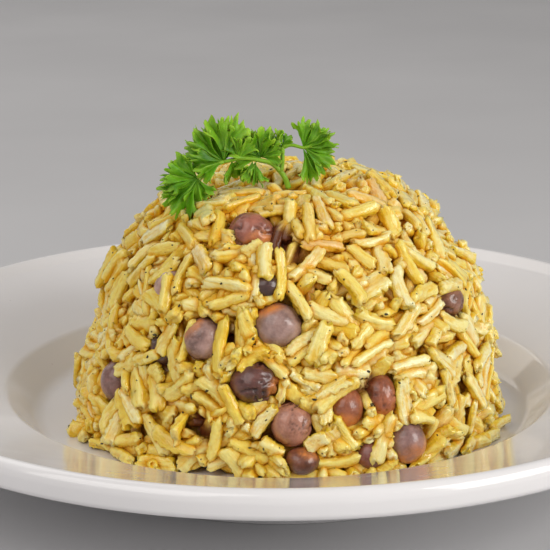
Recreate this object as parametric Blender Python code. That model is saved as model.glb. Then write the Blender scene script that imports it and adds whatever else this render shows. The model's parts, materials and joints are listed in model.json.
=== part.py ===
"""A plate of rice and beans: a moulded mound of yellow rice full of pigeon peas stands in the well of a
thick white plate, with a sprig of curly parsley stuck in its top. Metres, +Z up, origin under the middle
of the plate where it stands. The front of the dish faces -Y."""
import math

import bmesh
import bpy
from mathutils import Matrix, Vector, noise

GAP = 0.0003  # air left between pieces that touch

# Plate: heights are above the table, radii are from its axis, and both are before edges are rounded.
PLATE_RADIUS = 0.0875
PLATE_HEIGHT = 0.0251
PLATE_SEGMENTS = 44
ARC_STEP = math.radians(46.0)
WELL_FLOOR = 0.0082
WELL_RADIUS = 0.0512
SHOULDER_RADIUS = 0.0573
SHOULDER_HEIGHT = 0.0148
MARLY_TOP_RADIUS = 0.0822
MARLY_TOP_HEIGHT = 0.0224
LIP_CREST_RADIUS = 0.0865
LIP_UNDERSIDE_HEIGHT = 0.0188
UNDERSIDE_RADIUS = 0.0580  # where the steep outside of the well turns into the underside of the marly
UNDERSIDE_HEIGHT = 0.0106
FOOT_RADIUS = 0.0443
FOOT_WIDTH = 0.0030
FOOT_RECESS = 0.0020
FOOT_FLARE = 0.0014
FOOT_HEIGHT = 0.0018
LIP_BAND_HEIGHT = 0.0222  # up to here the outside of the lip stands upright
EDGE_ROUNDING = 0.0006
CREST_ROUNDING = 0.0018
LIP_ROUNDING = 0.0022
LIP_UNDER_ROUNDING = 0.0014
SHOULDER_ROUNDING = 0.0030
WELL_ROUNDING = 0.0045
UNDERSIDE_ROUNDING = 0.0080

# Mound: heights are above its own base, which lies on the floor of the well.
MOUND_RADIUS = 0.0451
MOUND_HEIGHT = 0.0500
MOUND_CENTRE_X = 0.0016
MOUND_LEAN = 0.0010  # how far the top leans towards +X
MOUND_SIDE_POWER = 3.48
MOUND_TOP_POWER = 1.44
MOUND_RINGS = 12
MOUND_SEGMENTS = 40
CLUMP_SIZE = 0.011
CLUMP_DEPTH = 0.0016
SAG_SIZE = 0.030
SAG_DEPTH = 0.0012
SLOPE_STEP = 0.0005  # rise over which the slope of the dome is taken
SAG_SHIFT = Vector((5.0, 1.0, 3.0))  # keeps the sags out of step with the clumps

# Peas on the front of the mound. Each row: degrees round from the front towards +X, height above the
# base of the mound, the pea's size across, upright and in depth, and how far its middle is sunk in.
FRONT_PEAS = (
    (-19.3, 0.0449, 0.0092, 0.0084, 0.0084, 0.0025),
    (-4.4, 0.0295, 0.0097, 0.0086, 0.0086, 0.0026),
    (-27.0, 0.0260, 0.0082, 0.0084, 0.0080, 0.0030),
    (-10.1, 0.0187, 0.0098, 0.0086, 0.0084, 0.0029),
    (0.5, 0.0110, 0.0084, 0.0088, 0.0084, 0.0028),
    (3.2, 0.0041, 0.0066, 0.0054, 0.0062, 0.0018),
    (15.4, 0.0137, 0.0072, 0.0080, 0.0078, 0.0031),
    (25.6, 0.0150, 0.0064, 0.0086, 0.0070, 0.0028),
    (31.2, 0.0059, 0.0080, 0.0086, 0.0080, 0.0025),
    (-59.0, 0.0130, 0.0078, 0.0092, 0.0080, 0.0030),
    (60.3, 0.0287, 0.0074, 0.0064, 0.0074, 0.0030),
    (-40.6, 0.0226, 0.0062, 0.0066, 0.0066, 0.0026),
    (-8.6, 0.0358, 0.0064, 0.0056, 0.0066, 0.0026),
    (-44.0, 0.0338, 0.0072, 0.0074, 0.0072, 0.0029),
    (21.3, 0.0043, 0.0062, 0.0062, 0.0066, 0.0026),
)

# Peas on the sides and the back follow a rule: golden-angle steps over the arc that the front leaves.
BACK_PEAS = 7
BACK_ARC_START = 84.0
BACK_ARC = 208.0
BACK_LOWEST = 0.0060
BACK_HIGHEST = 0.0420
GOLDEN_FRACTION = 0.618034
PEA_SIZE = 0.0084
PEA_SPREAD = 0.0010  # how much one pea differs from another
PEA_SINK = 0.0028
POCKET_ROOM = 0.00075  # how much wider a pocket is than its pea, whose sides are flat facets

# Parsley: knots are where stems and leaflets meet.
STEM_RADIUS = 0.00075
TWIG_RADIUS = 0.00055
STEM_SIDES = 5
STEM_SINK = 0.0030  # how deep the sprig is stuck in the rice
SPRIG_FOOT = Vector((0.0018, -0.0102, 0.0578))
FORK = Vector((0.0002, -0.0104, 0.0612))
LEFT_BEND = Vector((-0.0032, -0.0106, 0.0634))
LEFT_KNOT = Vector((-0.0111, -0.0120, 0.0636))
LEFT_TWIG_END = Vector((-0.0162, -0.0132, 0.0605))
MIDDLE_KNOT = Vector((-0.0036, -0.0100, 0.0640))
RIGHT_BEND = Vector((0.0006, -0.0102, 0.0640))
RIGHT_KNOT = Vector((0.0006, -0.0101, 0.0662))
RIGHT_TWIG_END = Vector((0.0046, -0.0102, 0.0660))
LEAF_THICKNESS = 0.0011
LEAF_CURL = 0.12
NOTCH_DEPTH = 0.58
NECK_WIDTH = 0.0006
NECK_ROOT = 0.00012  # how far a blade is sunk in the stem that bears it
SIDE_SHORTENING = 0.16  # how much shorter the outermost lobes are
FIRST_TOOTH = -0.30  # places of a lobe's two teeth, as shares of the lobe's own spread
SECOND_TOOTH = 0.22
SECOND_TOOTH_LENGTH = 0.96
TWIG_ROOT = 0.0007  # how far a twig starts inside the stem that bears it

# Leaflets: where each starts, the tip of its middle, how many lobes, half of its spread in degrees, and
# how far the blade turns up from facing the front, in degrees.
LEAFLETS = (
    (LEFT_KNOT, Vector((-0.0177, -0.0132, 0.0700)), 5, 64.0, 12.0),
    (LEFT_KNOT, Vector((-0.0172, -0.0156, 0.0630)), 3, 24.0, 40.0),
    (LEFT_KNOT, Vector((-0.0128, -0.0062, 0.0680)), 4, 42.0, 80.0),
    (LEFT_TWIG_END, Vector((-0.0238, -0.0156, 0.0591)), 5, 62.0, 25.0),
    (LEFT_TWIG_END, Vector((-0.0144, -0.0150, 0.0566)), 2, 20.0, 10.0),
    (LEFT_TWIG_END, Vector((-0.0186, -0.0082, 0.0610)), 3, 36.0, 85.0),
    (MIDDLE_KNOT, Vector((-0.0084, -0.0088, 0.0692)), 3, 36.0, 22.0),
    (MIDDLE_KNOT, Vector((-0.0036, -0.0096, 0.0699)), 3, 38.0, 5.0),
    (MIDDLE_KNOT, Vector((-0.0050, -0.0042, 0.0672)), 4, 46.0, 80.0),
    (Vector((-0.0054, -0.0110, 0.0635)), Vector((-0.0059, -0.0100, 0.0594)), 3, 40.0, 10.0),
    (Vector((-0.0086, -0.0115, 0.0635)), Vector((-0.0104, -0.0072, 0.0592)), 3, 26.0, 20.0),
    (RIGHT_KNOT, Vector((0.0000, -0.0098, 0.0699)), 2, 26.0, 5.0),
    (RIGHT_TWIG_END, Vector((0.0118, -0.0106, 0.0664)), 5, 80.0, 8.0),
    (RIGHT_TWIG_END, Vector((0.0076, -0.0050, 0.0690)), 4, 44.0, 80.0),
)


def clear_scene():
    for old in list(bpy.data.objects):
        bpy.data.objects.remove(old, do_unlink=True)


def material(name, colour, roughness):
    """A Principled material with the given colour and roughness, not metallic."""
    made = bpy.data.materials.new(name)
    made.use_nodes = True
    shader = made.node_tree.nodes["Principled BSDF"]
    shader.inputs["Base Color"].default_value = (*colour, 1.0)
    shader.inputs["Roughness"].default_value = roughness
    shader.inputs["Metallic"].default_value = 0.0
    return made


def new_object(name, body, finish=None):
    """Turn a bmesh into a smooth-shaded object with its faces pointing out."""
    bmesh.ops.recalc_face_normals(body, faces=body.faces)
    mesh = bpy.data.meshes.new(name)
    body.to_mesh(mesh)
    body.free()
    mesh.shade_smooth()
    mesh.set_sharp_from_angle(angle=math.radians(40.0))
    if finish:
        mesh.materials.append(finish)
    made = bpy.data.objects.new(name, mesh)
    bpy.context.scene.collection.objects.link(made)
    return made


def boolean(target, tool, operation):
    """Cut or add a helper body, which itself is left out of the part."""
    tool.hide_render = True
    tool.display_type = "WIRE"
    step = target.modifiers.new(tool.name, "BOOLEAN")
    step.operation = operation
    step.solver = "EXACT"
    step.object = tool


def rounded(corners):
    """An outline whose corners, given as (radius, height, rounding), become arcs."""
    outline = []
    last = len(corners) - 1
    for place, (across, up, rounding) in enumerate(corners):
        here = Vector((across, up))
        if rounding == 0.0 or place in (0, last):
            outline.append(here)
            continue
        before = (Vector(corners[place - 1][:2]) - here).normalized()
        after = (Vector(corners[place + 1][:2]) - here).normalized()
        half_angle = before.angle(after) / 2.0
        middle = here + (before + after).normalized() * (rounding / math.sin(half_angle))
        start = here + before * (rounding / math.tan(half_angle)) - middle
        end = here + after * (rounding / math.tan(half_angle)) - middle
        sweep = math.atan2(start.x * end.y - start.y * end.x, start.dot(end))
        steps = max(1, math.ceil(abs(sweep) / ARC_STEP))
        for step in range(steps + 1):
            outline.append(middle + Matrix.Rotation(sweep * step / steps, 2) @ start)
    return outline


def turned(outline, segments, shape=lambda point: point):
    """A closed body turned round +Z. The outline starts and ends on the axis; shape moves each point."""
    body = bmesh.new()
    rings = []
    for spot in outline[1:-1]:
        ring = []
        for segment in range(segments):
            turn = 2.0 * math.pi * segment / segments
            point = Vector((spot.x * math.cos(turn), spot.x * math.sin(turn), spot.y))
            ring.append(body.verts.new(shape(point)))
        rings.append(ring)
    first = body.verts.new(shape(Vector((0.0, 0.0, outline[0].y))))
    final = body.verts.new(shape(Vector((0.0, 0.0, outline[-1].y))))
    for segment in range(segments):
        following = (segment + 1) % segments
        body.faces.new((first, rings[0][following], rings[0][segment]))
        body.faces.new((final, rings[-1][segment], rings[-1][following]))
        for low, high in zip(rings, rings[1:]):
            body.faces.new((low[segment], low[following], high[following], high[segment]))
    return body


def make_plate():
    """Foot ring, steep underside of the well, sloping marly and rolled lip in one outline."""
    slope = (MARLY_TOP_HEIGHT - SHOULDER_HEIGHT) / (MARLY_TOP_RADIUS - SHOULDER_RADIUS)
    lip_start = UNDERSIDE_RADIUS + (LIP_UNDERSIDE_HEIGHT - UNDERSIDE_HEIGHT) / slope
    foot_inner = FOOT_RADIUS - FOOT_WIDTH
    corners = (
        (0.0, FOOT_RECESS, 0.0),
        (foot_inner - EDGE_ROUNDING, FOOT_RECESS, EDGE_ROUNDING),
        (foot_inner, 0.0, EDGE_ROUNDING),
        (FOOT_RADIUS, 0.0, EDGE_ROUNDING),
        (FOOT_RADIUS + FOOT_FLARE, FOOT_HEIGHT, FOOT_HEIGHT),
        (UNDERSIDE_RADIUS, UNDERSIDE_HEIGHT, UNDERSIDE_ROUNDING),
        (lip_start, LIP_UNDERSIDE_HEIGHT, 0.0),
        (PLATE_RADIUS, LIP_UNDERSIDE_HEIGHT, LIP_UNDER_ROUNDING),
        (PLATE_RADIUS, LIP_BAND_HEIGHT, LIP_ROUNDING),
        (LIP_CREST_RADIUS, PLATE_HEIGHT, CREST_ROUNDING),
        (MARLY_TOP_RADIUS, MARLY_TOP_HEIGHT, 0.0),
        (SHOULDER_RADIUS, SHOULDER_HEIGHT, SHOULDER_ROUNDING),
        (WELL_RADIUS, WELL_FLOOR, WELL_ROUNDING),
        (0.0, WELL_FLOOR, 0.0),
    )
    glaze = material("glaze_white", (0.72, 0.70, 0.72), 0.12)
    return new_object("plate", turned(rounded(corners), PLATE_SEGMENTS), glaze)


def mound_outline():
    """A blunt dome: steep sides that round over to a nearly flat top."""
    outline = [Vector((0.0, 0.0))]
    for ring in range(MOUND_RINGS):
        turn = 0.5 * math.pi * ring / MOUND_RINGS
        across = MOUND_RADIUS * math.cos(turn) ** (2.0 / MOUND_SIDE_POWER)
        outline.append(Vector((across, MOUND_HEIGHT * math.sin(turn) ** (2.0 / MOUND_TOP_POWER))))
    outline.append(Vector((0.0, MOUND_HEIGHT)))
    return outline


def mound_width(height):
    """Radius of the smooth dome at a height above its base."""
    share = min(max(height / MOUND_HEIGHT, 0.0), 1.0)
    return MOUND_RADIUS * (1.0 - share ** MOUND_TOP_POWER) ** (1.0 / MOUND_SIDE_POWER)


def uneven(point):
    """Move a point of the smooth dome to where the clumps of rice and the sagging sides put it."""
    clump = noise.noise(point / CLUMP_SIZE) * CLUMP_DEPTH
    sag = noise.noise(point / SAG_SIZE + SAG_SHIFT) * SAG_DEPTH
    height = point.z / MOUND_HEIGHT
    outward = Vector((point.x, point.y, point.z * height))
    moved = point + outward.normalized() * (clump + sag) if outward.length > 0.0 else point.copy()
    if point.z == 0.0:
        moved.z = 0.0
    base = Vector((MOUND_CENTRE_X + MOUND_LEAN * height, 0.0, WELL_FLOOR + GAP))
    return moved + base


def make_mound():
    rice = material("rice_yellow", (0.72, 0.50, 0.11), 0.5)
    return new_object("rice_mound", turned(mound_outline(), MOUND_SEGMENTS, uneven), rice)


def surface_point(turn, height):
    """Point of the smooth dome, and the direction it faces, at degrees round from the front."""
    angle = math.radians(turn)
    outward = Vector((math.sin(angle), -math.cos(angle), 0.0))
    slope = (mound_width(height - SLOPE_STEP) - mound_width(height + SLOPE_STEP)) / (2.0 * SLOPE_STEP)
    facing = (outward + Vector((0.0, 0.0, slope))).normalized()
    return outward * mound_width(height) + Vector((0.0, 0.0, height)), facing


def pea_body(size):
    """A pea of the given size across (X), in depth (Y) and upright (Z)."""
    body = bmesh.new()
    bmesh.ops.create_icosphere(body, subdivisions=2, radius=0.5)
    bmesh.ops.scale(body, vec=size, verts=body.verts)
    return body


def make_pea(number, turn, height, size, sink, skin, mound):
    """Set one pea in the face of the mound and carve its pocket."""
    point, facing = surface_point(turn, height)
    middle = uneven(point) - facing * sink
    middle.z = max(middle.z, WELL_FLOOR + GAP + size.z / 2.0)
    turn_to_face = facing.to_track_quat("-Y", "Z")
    name = f"pea_{number:02d}"
    pea = new_object(name, pea_body(size), skin)
    room = Vector((POCKET_ROOM, POCKET_ROOM, POCKET_ROOM))
    pocket = new_object(name + "_pocket", pea_body(size + room))
    for piece in (pea, pocket):
        piece.location = middle
        piece.rotation_mode = "QUATERNION"
        piece.rotation_quaternion = turn_to_face
    boolean(mound, pocket, "DIFFERENCE")


def back_peas():
    """Rows like those of the front for the peas of the sides and the back."""
    rows = []
    for count in range(BACK_PEAS):
        share = (count + 0.5) / BACK_PEAS
        level = (count * GOLDEN_FRACTION) % 1.0
        differ = PEA_SPREAD * (level - 0.5)
        turn = BACK_ARC_START + BACK_ARC * share
        height = BACK_LOWEST + (BACK_HIGHEST - BACK_LOWEST) * level
        rows.append((turn, height, PEA_SIZE + differ, PEA_SIZE - differ, PEA_SIZE, PEA_SINK))
    return rows


def make_peas(mound):
    skin = material("pea_brown", (0.16, 0.07, 0.06), 0.3)
    rows = [*FRONT_PEAS, *back_peas()]
    for number, (turn, height, across, upright, deep, sink) in enumerate(rows, start=1):
        make_pea(number, turn, height, Vector((across, deep, upright)), sink, skin, mound)


def tube(route, radius):
    """A closed stem of even thickness along a route."""
    body = bmesh.new()
    rings = []
    for place, point in enumerate(route):
        ahead = route[min(place + 1, len(route) - 1)] - route[max(place - 1, 0)]
        frame = ahead.to_track_quat("Z", "Y")
        ring = []
        for side in range(STEM_SIDES):
            turn = 2.0 * math.pi * side / STEM_SIDES
            spoke = Vector((math.cos(turn), math.sin(turn), 0.0)) * radius
            ring.append(body.verts.new(point + frame @ spoke))
        rings.append(ring)
    for low, high in zip(rings, rings[1:]):
        for side in range(STEM_SIDES):
            following = (side + 1) % STEM_SIDES
            body.faces.new((low[side], low[following], high[following], high[side]))
    body.faces.new(rings[0])
    body.faces.new(rings[-1])
    return body


def leaflet(base, tip, lobes, spread, lift):
    """A thin blade with two-toothed lobes that fan out from its base, and a notch between each two."""
    reach = (tip - base).length
    along = (tip - base).normalized()
    facing = Vector((0.0, -math.cos(math.radians(lift)), math.sin(math.radians(lift))))
    across = along.cross(facing).normalized()
    normal = across.cross(along)
    step = 2.0 * spread / lobes
    outline = [(90.0, NECK_WIDTH / 2.0), (-90.0, NECK_WIDTH / 2.0)]
    for lobe in range(lobes):
        middle = -spread + step * (lobe + 0.5)
        length = reach * (1.0 - SIDE_SHORTENING * abs(middle) / spread)
        outline.append((middle + FIRST_TOOTH * step, length))
        outline.append((middle + SECOND_TOOTH * step, SECOND_TOOTH_LENGTH * length))
        if lobe < lobes - 1:
            outline.append((middle + 0.5 * step, NOTCH_DEPTH * length))
    rooted = base - along * NECK_ROOT * (lobes + spread / 90.0)
    body = bmesh.new()
    layers = []
    for side in (-0.5, 0.5):
        layer = []
        for angle, distance in outline:
            turn = math.radians(angle)
            flat = along * (distance * math.cos(turn)) + across * (distance * math.sin(turn))
            curl = LEAF_CURL * distance * distance / reach
            layer.append(body.verts.new(rooted + flat + normal * (side * LEAF_THICKNESS - curl)))
        layers.append(layer)
    back, front = layers
    for place in range(1, len(outline) - 1):
        body.faces.new((back[0], back[place + 1], back[place]))
        body.faces.new((front[0], front[place], front[place + 1]))
    for place in range(len(outline)):
        following = (place + 1) % len(outline)
        body.faces.new((back[place], back[following], front[following], front[place]))
    return body


def make_parsley(mound):
    """Stems and leaflets grown into one piece, whose foot is stuck in the top of the mound."""
    leaf = material("parsley_green", (0.09, 0.28, 0.02), 0.45)
    foot_end = SPRIG_FOOT - Vector((0.0, 0.0, STEM_SINK))
    main_route = [foot_end, SPRIG_FOOT, FORK, LEFT_BEND, LEFT_KNOT]
    sprig = new_object("parsley_sprig", tube(main_route, STEM_RADIUS), leaf)
    twigs = (
        ([LEFT_KNOT + Vector((TWIG_ROOT, 0.0, 0.0)), LEFT_TWIG_END], TWIG_RADIUS),
        ([FORK - Vector((0.0, 0.0, TWIG_ROOT)), RIGHT_BEND, RIGHT_KNOT, RIGHT_TWIG_END], TWIG_RADIUS),
        ([LEFT_BEND, MIDDLE_KNOT], STEM_RADIUS),
    )
    for number, (route, radius) in enumerate(twigs, start=1):
        boolean(sprig, new_object(f"twig_{number}", tube(route, radius)), "UNION")
    for number, row in enumerate(LEAFLETS, start=1):
        boolean(sprig, new_object(f"leaflet_{number:02d}", leaflet(*row)), "UNION")
    hole_route = [foot_end - Vector((0.0, 0.0, GAP)), SPRIG_FOOT, FORK]
    boolean(mound, new_object("stem_hole", tube(hole_route, STEM_RADIUS + 2.0 * GAP)), "DIFFERENCE")


clear_scene()
make_plate()
rice_mound = make_mound()
make_peas(rice_mound)
make_parsley(rice_mound)
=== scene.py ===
"""Looks of the rice and beans plate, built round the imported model. Lengths here are in millimetres, in the
frame's own axes; MM turns them into the metres that Blender holds."""
import json
import math

import bpy
import numpy as np
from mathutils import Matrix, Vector, noise
from mathutils.bvhtree import BVHTree

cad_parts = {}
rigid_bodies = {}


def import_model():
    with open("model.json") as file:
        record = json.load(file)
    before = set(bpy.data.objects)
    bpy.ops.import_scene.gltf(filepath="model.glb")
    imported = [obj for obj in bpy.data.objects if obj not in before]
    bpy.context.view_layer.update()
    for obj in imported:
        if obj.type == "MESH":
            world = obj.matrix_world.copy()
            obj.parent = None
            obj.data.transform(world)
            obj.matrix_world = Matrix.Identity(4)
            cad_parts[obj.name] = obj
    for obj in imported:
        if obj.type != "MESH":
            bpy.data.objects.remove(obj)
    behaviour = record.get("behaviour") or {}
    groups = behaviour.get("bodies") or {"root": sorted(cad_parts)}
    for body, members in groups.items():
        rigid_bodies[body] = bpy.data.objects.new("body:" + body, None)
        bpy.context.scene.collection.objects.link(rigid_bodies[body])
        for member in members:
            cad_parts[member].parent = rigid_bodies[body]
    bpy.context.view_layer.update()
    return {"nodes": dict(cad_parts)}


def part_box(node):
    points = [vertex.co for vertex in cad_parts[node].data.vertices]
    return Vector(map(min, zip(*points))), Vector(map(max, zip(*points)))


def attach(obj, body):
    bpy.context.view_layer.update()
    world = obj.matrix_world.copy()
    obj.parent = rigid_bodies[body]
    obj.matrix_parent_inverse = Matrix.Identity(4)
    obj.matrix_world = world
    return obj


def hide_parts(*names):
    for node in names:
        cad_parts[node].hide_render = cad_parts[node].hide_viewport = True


MM = 0.001
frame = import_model()
noise.seed_set(1)  # without a seed of its own, vector noise differs from run to run

# Camera: a long lens, low over the front of the dish.
CAMERA_PLACE = Vector((-0.7, -365.2, 138.25))
CAMERA_PITCH = 15.5
CAMERA_ROLL = 0.18
CAMERA_LENS = 119.3
CAMERA_SENSOR = 36.0

# Plate.
PLATE_RADIUS = 87.5
PLATE_SIDES = 192
FLOOR_OF_WELL = 8.2

# The mound's outline, as in the solid that it replaces.
MOUND_RADIUS = 45.1
MOUND_HEIGHT = 50.0
MOUND_SIDE_POWER = 3.48
MOUND_TOP_POWER = 1.44
MOUND_CENTRE_X = 1.6
MOUND_LEAN = 1.0
CLUMP_SIZE = 11.0
CLUMP_DEPTH = 1.6
SAG_SIZE = 30.0
SAG_DEPTH = 1.2

# Kinds of cooked grain: share of the grains, mean length, half width, half thickness, bend, how ragged the
# ends are, and how blunt they are.
KINDS = {
    "long": (0.26, 8.9, 1.36, 1.06, 0.50, 0.045, 16.0),
    "slim": (0.19, 9.3, 1.16, 0.98, 0.80, 0.040, 12.0),
    "bent": (0.18, 8.6, 1.32, 1.06, 1.25, 0.045, 12.0),
    "burst": (0.24, 8.3, 1.80, 1.04, 0.60, 0.080, 18.0),
    "short": (0.08, 5.4, 1.48, 1.14, 0.15, 0.080, 14.0),
    "broken": (0.05, 3.8, 1.34, 1.08, 0.10, 0.120, 14.0),
}
GRAIN_COUNT = 2450
GRAIN_RADIUS = 1.22
BEAD_SHARE = 0.79  # grains press into each other by the rest
GRAIN_BEADS = 5  # spheres along a grain that keep it clear of the others
SHELL_DEPTH = 7.2
CORE_DEPTH = 4.4
SEEN_DEPTH = 4.6  # grains whose middle lies deeper than this are never seen
SETTLE_STEPS = 70
GRAIN_PUSH = 1.4  # how far one step takes a bead off those that it overlaps, as a share of the mean overlap
PEA_PUSH = 0.6  # share of the way off a pea or a hollow in one step
OUTLINE_PULL = 0.8  # share of the way back to the outline in one step
SUNK_PEA_ROOM = 0.72  # share of a grain's radius that stays clear of a pea under grains
OUTER_DEPTH = 2.0  # grains less deep than this are made finer
OUTER_MESH = (20, 14)  # rings along a grain, and points round each
INNER_MESH = (12, 10)
GRAIN_MODELS = 18  # different grains of each kind
NEAR_CELL = 2.2
NEAR_REACH = 0.85  # the painted shade where grains touch fades out over this gap

# Grains that lie over or beside the peas of the front: degrees from the front towards +X, height above the
# base, lean of the grain from level in degrees, length, how far its middle lies below the outline, and kind.
KEY_GRAINS = (
    (-12.6, 37.0, -84, 10.2, 0.6, "long"),
    (-14.5, 41.4, 50, 4.6, 0.5, "short"),
    (-4.1, 37.7, -88, 10.0, 0.1, "long"),
    (8.5, 38.2, -26, 6.4, 0.9, "burst"),
    (5.2, 39.8, 44, 9.2, 0.5, "long"),
    (-32.5, 42.8, 12, 9.0, 0.9, "long"),
    (-33.5, 47.0, 18, 8.0, 0.8, "long"),
    (-25.0, 35.2, 58, 9.0, 0.8, "long"),
    (-16.5, 31.2, -4, 6.4, 1.0, "burst"),
    (-20.0, 24.8, -88, 11.0, -0.2, "bent"),
    (-14.2, 26.8, -82, 8.2, 0.6, "bent"),
    (-11.0, 23.4, 38, 7.0, 0.6, "bent"),
    (-1.0, 25.0, 6, 6.4, 1.2, "long"),
    (-1.0, 22.0, -24, 7.0, 0.9, "burst"),
    (3.6, 19.0, -36, 7.6, 0.6, "burst"),
    (1.6, 16.4, -34, 6.0, 0.8, "short"),
    (12.2, 16.6, 32, 10.0, -0.2, "long"),
    (-9.2, 13.4, 42, 6.4, 0.9, "burst"),
    (-9.8, 39.2, -84, 7.6, -0.4, "long"),
    (58.0, 31.4, -6, 7.6, -0.9, "long"),
    (-7.0, 11.6, 54, 7.6, 0.1, "long"),
    (-10.5, 5.8, -26, 8.4, 0.7, "long"),
    (-4.6, 6.6, -32, 5.4, 0.3, "short"),
    (14.2, 8.9, -50, 8.2, 0.2, "burst"),
    (9.0, 9.0, -68, 8.6, 0.8, "long"),
    (23.6, 7.6, 64, 9.6, -0.3, "long"),
    (30.2, 13.6, -90, 9.4, 0.2, "burst"),
    (19.0, 10.2, 12, 6.4, 1.6, "burst"),
    (12.0, 3.6, 3, 9.2, 0.7, "bent"),
    (17.2, 20.6, -4, 7.4, 0.9, "long"),
    (8.0, 19.8, -12, 6.6, 0.2, "burst"),
    (35.6, 18.4, 2, 8.6, 0.8, "burst"),
    (36.2, 12.4, -54, 7.8, 0.8, "long"),
    (-20.0, 17.0, -33, 7.8, 0.5, "burst"),
    (-21.0, 13.8, -28, 8.8, 0.9, "long"),
    (-14.0, 3.4, -50, 6.6, 0.6, "burst"),
    (-47.0, 38.4, 60, 7.6, 0.7, "long"),
    (-82.0, 31.0, 75, 9.4, -1.8, "burst"),
    (-77.0, 32.6, 62, 8.8, -1.2, "long"),
    (-31.0, 25.0, 80, 8.4, 0.6, "long"),
    (-52.0, 17.4, 35, 8.2, 0.6, "long"),
    (-48.0, 9.4, -40, 8.2, 0.7, "burst"),
    (52.0, 31.0, 20, 8.4, 0.7, "long"),
    (55.0, 25.2, -30, 8.0, 0.6, "burst"),
    (-37.5, 24.8, 70, 7.6, -0.2, "long"),
    (-43.5, 20.6, 25, 7.6, -0.1, "burst"),
    (-41.0, 32.2, -78, 8.0, -0.4, "long"),
    (-46.5, 35.6, 48, 7.6, -0.2, "burst"),
)

# Gaps between the front grains, darkened with painted shade below the outer grains: degrees from the front,
# height, radius.
HOLLOWS = ((-9.5, 44.2, 2.6), (-3.5, 42.4, 3.0), (-17.2, 27.2, 2.2), (-38.0, 20.8, 2.2), (-23.5, 10.0, 2.2),
           (20.5, 18.4, 1.8), (-5.5, 8.4, 1.8))

# Grains that lie round the foot of the heap: a range of degrees from the front towards +X, and how many.
FOOT_GRAINS = (((-75.0, -34.0), 7), ((34.0, 80.0), 5), ((110.0, 250.0), 12))



# Size of each pea of the front: across, deep, upright.
PEA_SIZES = {
    "pea_01": (9.2, 8.4, 8.4),
    "pea_02": (9.7, 8.6, 8.6),
    "pea_03": (8.2, 8.0, 8.4),
    "pea_04": (9.8, 8.4, 8.6),
    "pea_05": (8.4, 8.4, 8.8),
    "pea_06": (6.6, 6.2, 5.4),
    "pea_07": (7.2, 7.8, 8.0),
    "pea_08": (6.4, 7.0, 8.6),
    "pea_09": (8.0, 8.0, 8.6),
    "pea_10": (7.8, 8.0, 9.2),
    "pea_11": (7.4, 7.4, 6.4),
    "pea_12": (6.2, 6.6, 6.6),
    "pea_13": (6.4, 6.6, 5.6),
    "pea_14": (7.2, 7.2, 7.4),
    "pea_15": (6.2, 6.6, 6.2),
}
PEA_SIZE = (8.4, 8.4, 8.4)
SUNK_PEAS = ("pea_12", "pea_13", "pea_14", "pea_15", "pea_22")  # grains may lie over these
PEA_NODES = sorted(name for name in frame["nodes"] if name.startswith("pea_"))


def box_mm(node):
    """Lowest and highest corner of a node's box."""
    low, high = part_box(node)
    return np.array(low) / MM, np.array(high) / MM


MOUND_BASE = box_mm("rice_mound")[0][2]


# ---------------------------------------------------------------------------------------------------
# Mesh and material helpers


def new_piece(name, points, faces, finish, slot, smooth=True):
    """A mesh object from points in millimetres; it rides on the one body."""
    mesh = bpy.data.meshes.new(name)
    points = np.asarray(points, np.float32) * MM
    sizes = np.array([len(face) for face in faces], np.int32) if isinstance(faces, list) else None
    if sizes is None:
        sizes = np.full(len(faces), faces.shape[1], np.int32)
        corners = faces.reshape(-1).astype(np.int32)
    else:
        corners = np.concatenate([np.asarray(face, np.int32) for face in faces])
    mesh.vertices.add(len(points))
    mesh.vertices.foreach_set("co", points.reshape(-1))
    mesh.loops.add(len(corners))
    mesh.loops.foreach_set("vertex_index", corners)
    mesh.polygons.add(len(sizes))
    mesh.polygons.foreach_set("loop_start", np.concatenate([[0], np.cumsum(sizes)[:-1]]).astype(np.int32))
    mesh.update(calc_edges=True)
    mesh.validate()
    if smooth:
        mesh.shade_smooth()
    mesh.materials.append(finish)
    piece = bpy.data.objects.new(name, mesh)
    bpy.context.scene.collection.objects.link(piece)
    if slot:
        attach(piece, "root")
    return piece


def add_values(piece, name, values):
    """A number for each point, which the piece's material reads by name."""
    layer = piece.data.attributes.new(name, "FLOAT", "POINT")
    layer.data.foreach_set("value", np.asarray(values, np.float32))


def add_places(piece, name, vectors):
    """A vector for each point, which the piece's material reads by name."""
    layer = piece.data.attributes.new(name, "FLOAT_VECTOR", "POINT")
    layer.data.foreach_set("vector", np.asarray(vectors, np.float32).reshape(-1))


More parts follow.
